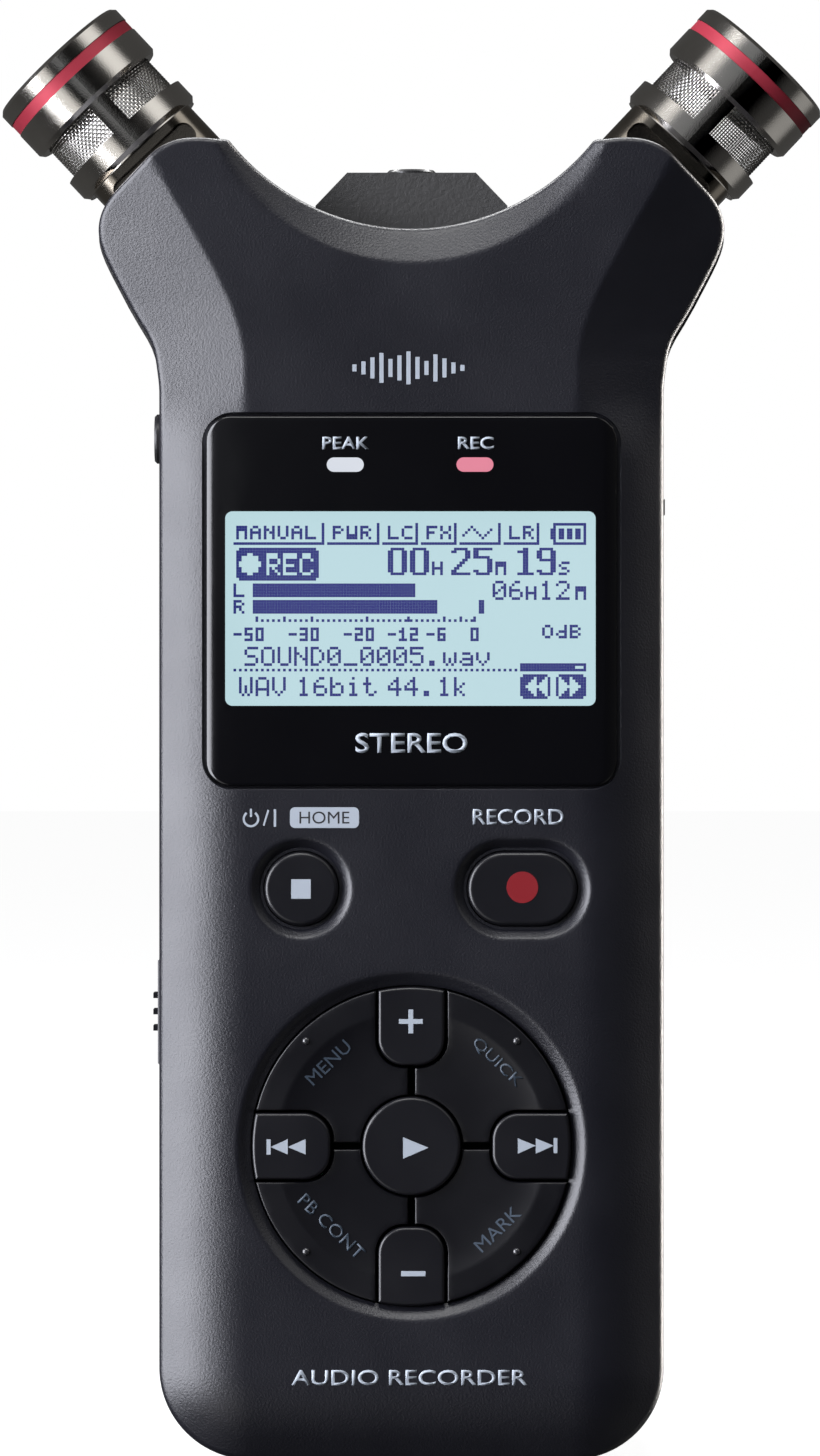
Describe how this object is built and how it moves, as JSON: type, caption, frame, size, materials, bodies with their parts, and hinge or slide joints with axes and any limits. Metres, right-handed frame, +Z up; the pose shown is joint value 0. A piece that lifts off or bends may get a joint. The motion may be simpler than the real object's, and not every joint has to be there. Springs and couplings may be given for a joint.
{
  "type": "portable audio recorder",
  "caption": "Handheld stereo audio recorder with swivelling microphones on raised shoulders, a lit display window, a round key cluster and a sliding rear battery cover.",
  "frame": {"origin": "middle of the bottom end, half way through the depth", "axes": "+Z up along the body towards the microphones, front face towards -Y, +X to the right as seen from the front"},
  "size_m": [0.0898, 0.026, 0.1582],
  "materials": {
    "case_black": "satin moulded, fine texture",
    "rear_grey": "coarse spark-eroded texture",
    "key_black": "satin",
    "window_black": "polished",
    "screen": "lit liquid crystal panel",
    "light_guide": "clear",
    "sheet_steel": "stamped",
    "board_green": "solder mask",
    "switch_black": "moulded",
    "dark_chrome": "smoked bright plating",
    "steel_mesh": "woven wire",
    "red_ring": "satin anodised",
    "rubber_black": "soft",
    "brass_nickel": "plated",
    "spring_steel": "wire",
    "zinc_screw": "black zinc",
    "cell_sleeve": "printed sleeve, plain",
    "card_black": "moulded",
    "peak_lens": "diffusing",
    "rec_lens": "diffusing"
  },
  "bodies": {
    "case": {"front_shell": "case_black", "rear_shell": "rear_grey", "display_window": "window_black", "lcd_panel": "screen", "backlight_guide": "light_guide", "lcd_frame": "sheet_steel", "peak_light_pipe": "peak_lens", "rec_light_pipe": "rec_lens", "tact_switches": "switch_black", "main_board": "board_green", "mic_in_jack": "switch_black", "line_out_jack": "switch_black", "hold_switch_body": "switch_black", "card_socket": "sheet_steel", "usb_port": "sheet_steel", "speaker": "sheet_steel", "tripod_bush": "brass_nickel", "aa_battery_left": "cell_sleeve", "aa_battery_right": "cell_sleeve", "battery_contacts": "brass_nickel", "battery_springs": "spring_steel", "case_screws": "zinc_screw", "board_screws": "zinc_screw", "left_pivot_shaft": "sheet_steel", "left_friction_washers": "spring_steel", "right_pivot_shaft": "sheet_steel", "right_friction_washers": "spring_steel"},
    "left_microphone": {"left_mic_arm": "dark_chrome", "left_mic_barrel": "dark_chrome", "left_mic_mesh": "steel_mesh", "left_mic_ring": "red_ring", "left_mic_cap": "dark_chrome", "left_mic_grille": "steel_mesh", "left_mic_capsule": "sheet_steel", "left_capsule_mount": "rubber_black"},
    "right_microphone": {"right_mic_arm": "dark_chrome", "right_mic_barrel": "dark_chrome", "right_mic_mesh": "steel_mesh", "right_mic_ring": "red_ring", "right_mic_cap": "dark_chrome", "right_mic_grille": "steel_mesh", "right_mic_capsule": "sheet_steel", "right_capsule_mount": "rubber_black"},
    "stop_key": {"stop_button": "key_black"},
    "record_key": {"record_button": "key_black"},
    "play_key": {"play_button": "key_black"},
    "plus_key": {"plus_button": "key_black"},
    "minus_key": {"minus_button": "key_black"},
    "skip_forward_key": {"skip_forward_button": "key_black"},
    "skip_back_key": {"skip_back_button": "key_black"},
    "quick_key": {"quick_button": "key_black"},
    "menu_key": {"menu_button": "key_black"},
    "mark_key": {"mark_button": "key_black"},
    "playback_control_key": {"playback_control_button": "key_black"},
    "hold_slide": {"hold_slider": "key_black"},
    "battery_door": {"battery_cover": "rear_grey"},
    "card_flap": {"card_door": "rear_grey"},
    "card": {"memory_card": "card_black"}
  },
  "joints": [
    {"name": "left_mic_swivel", "type": "hinge", "parent": "case", "child": "left_microphone", "pos_m": [-0.0231, 0.001, 0.1358], "axis": [0, 1, 0], "range_deg": [0, 88.3]},
    {"name": "right_mic_swivel", "type": "hinge", "parent": "case", "child": "right_microphone", "pos_m": [0.0231, 0.001, 0.1358], "axis": [0, -1, 0], "range_deg": [0, 88.3]},
    {"name": "stop_press", "type": "slide", "parent": "case", "child": "stop_key", "axis": [0, 1, 0], "range_m": [0, 0.00035], "stiffness_N_per_m": 100},
    {"name": "record_press", "type": "slide", "parent": "case", "child": "record_key", "axis": [0, 1, 0], "range_m": [0, 0.00035], "stiffness_N_per_m": 100},
    {"name": "play_press", "type": "slide", "parent": "case", "child": "play_key", "axis": [0, 1, 0], "range_m": [0, 0.00035], "stiffness_N_per_m": 100},
    {"name": "plus_press", "type": "slide", "parent": "case", "child": "plus_key", "axis": [0, 1, 0], "range_m": [0, 0.00035], "stiffness_N_per_m": 100},
    {"name": "minus_press", "type": "slide", "parent": "case", "child": "minus_key", "axis": [0, 1, 0], "range_m": [0, 0.00035], "stiffness_N_per_m": 100},
    {"name": "skip_forward_press", "type": "slide", "parent": "case", "child": "skip_forward_key", "axis": [0, 1, 0], "range_m": [0, 0.00035], "stiffness_N_per_m": 100},
    {"name": "skip_back_press", "type": "slide", "parent": "case", "child": "skip_back_key", "axis": [0, 1, 0], "range_m": [0, 0.00035], "stiffness_N_per_m": 100},
    {"name": "quick_press", "type": "slide", "parent": "case", "child": "quick_key", "axis": [0, 1, 0], "range_m": [0, 0.00035], "stiffness_N_per_m": 100},
    {"name": "menu_press", "type": "slide", "parent": "case", "child": "menu_key", "axis": [0, 1, 0], "range_m": [0, 0.00035], "stiffness_N_per_m": 100},
    {"name": "mark_press", "type": "slide", "parent": "case", "child": "mark_key", "axis": [0, 1, 0], "range_m": [0, 0.00035], "stiffness_N_per_m": 100},
    {"name": "playback_control_press", "type": "slide", "parent": "case", "child": "playback_control_key", "axis": [0, 1, 0], "range_m": [0, 0.00035], "stiffness_N_per_m": 100},
    {"name": "hold_switch_slide", "type": "slide", "parent": "case", "child": "hold_slide", "axis": [0, 0, 1], "range_m": [0, 0.0032]},
    {"name": "battery_cover_slide", "type": "slide", "parent": "case", "child": "battery_door", "axis": [0, 0, -1], "range_m": [0, 0.006]},
    {"name": "card_door_hinge", "type": "hinge", "parent": "case", "child": "card_flap", "pos_m": [0.0267, 0, 0.08675], "axis": [0, 1, 0], "range_deg": [0, 95]},
    {"name": "card_push", "type": "slide", "parent": "case", "child": "card", "axis": [-1, 0, 0], "range_m": [0, 0.0006], "stiffness_N_per_m": 100}
  ]
}
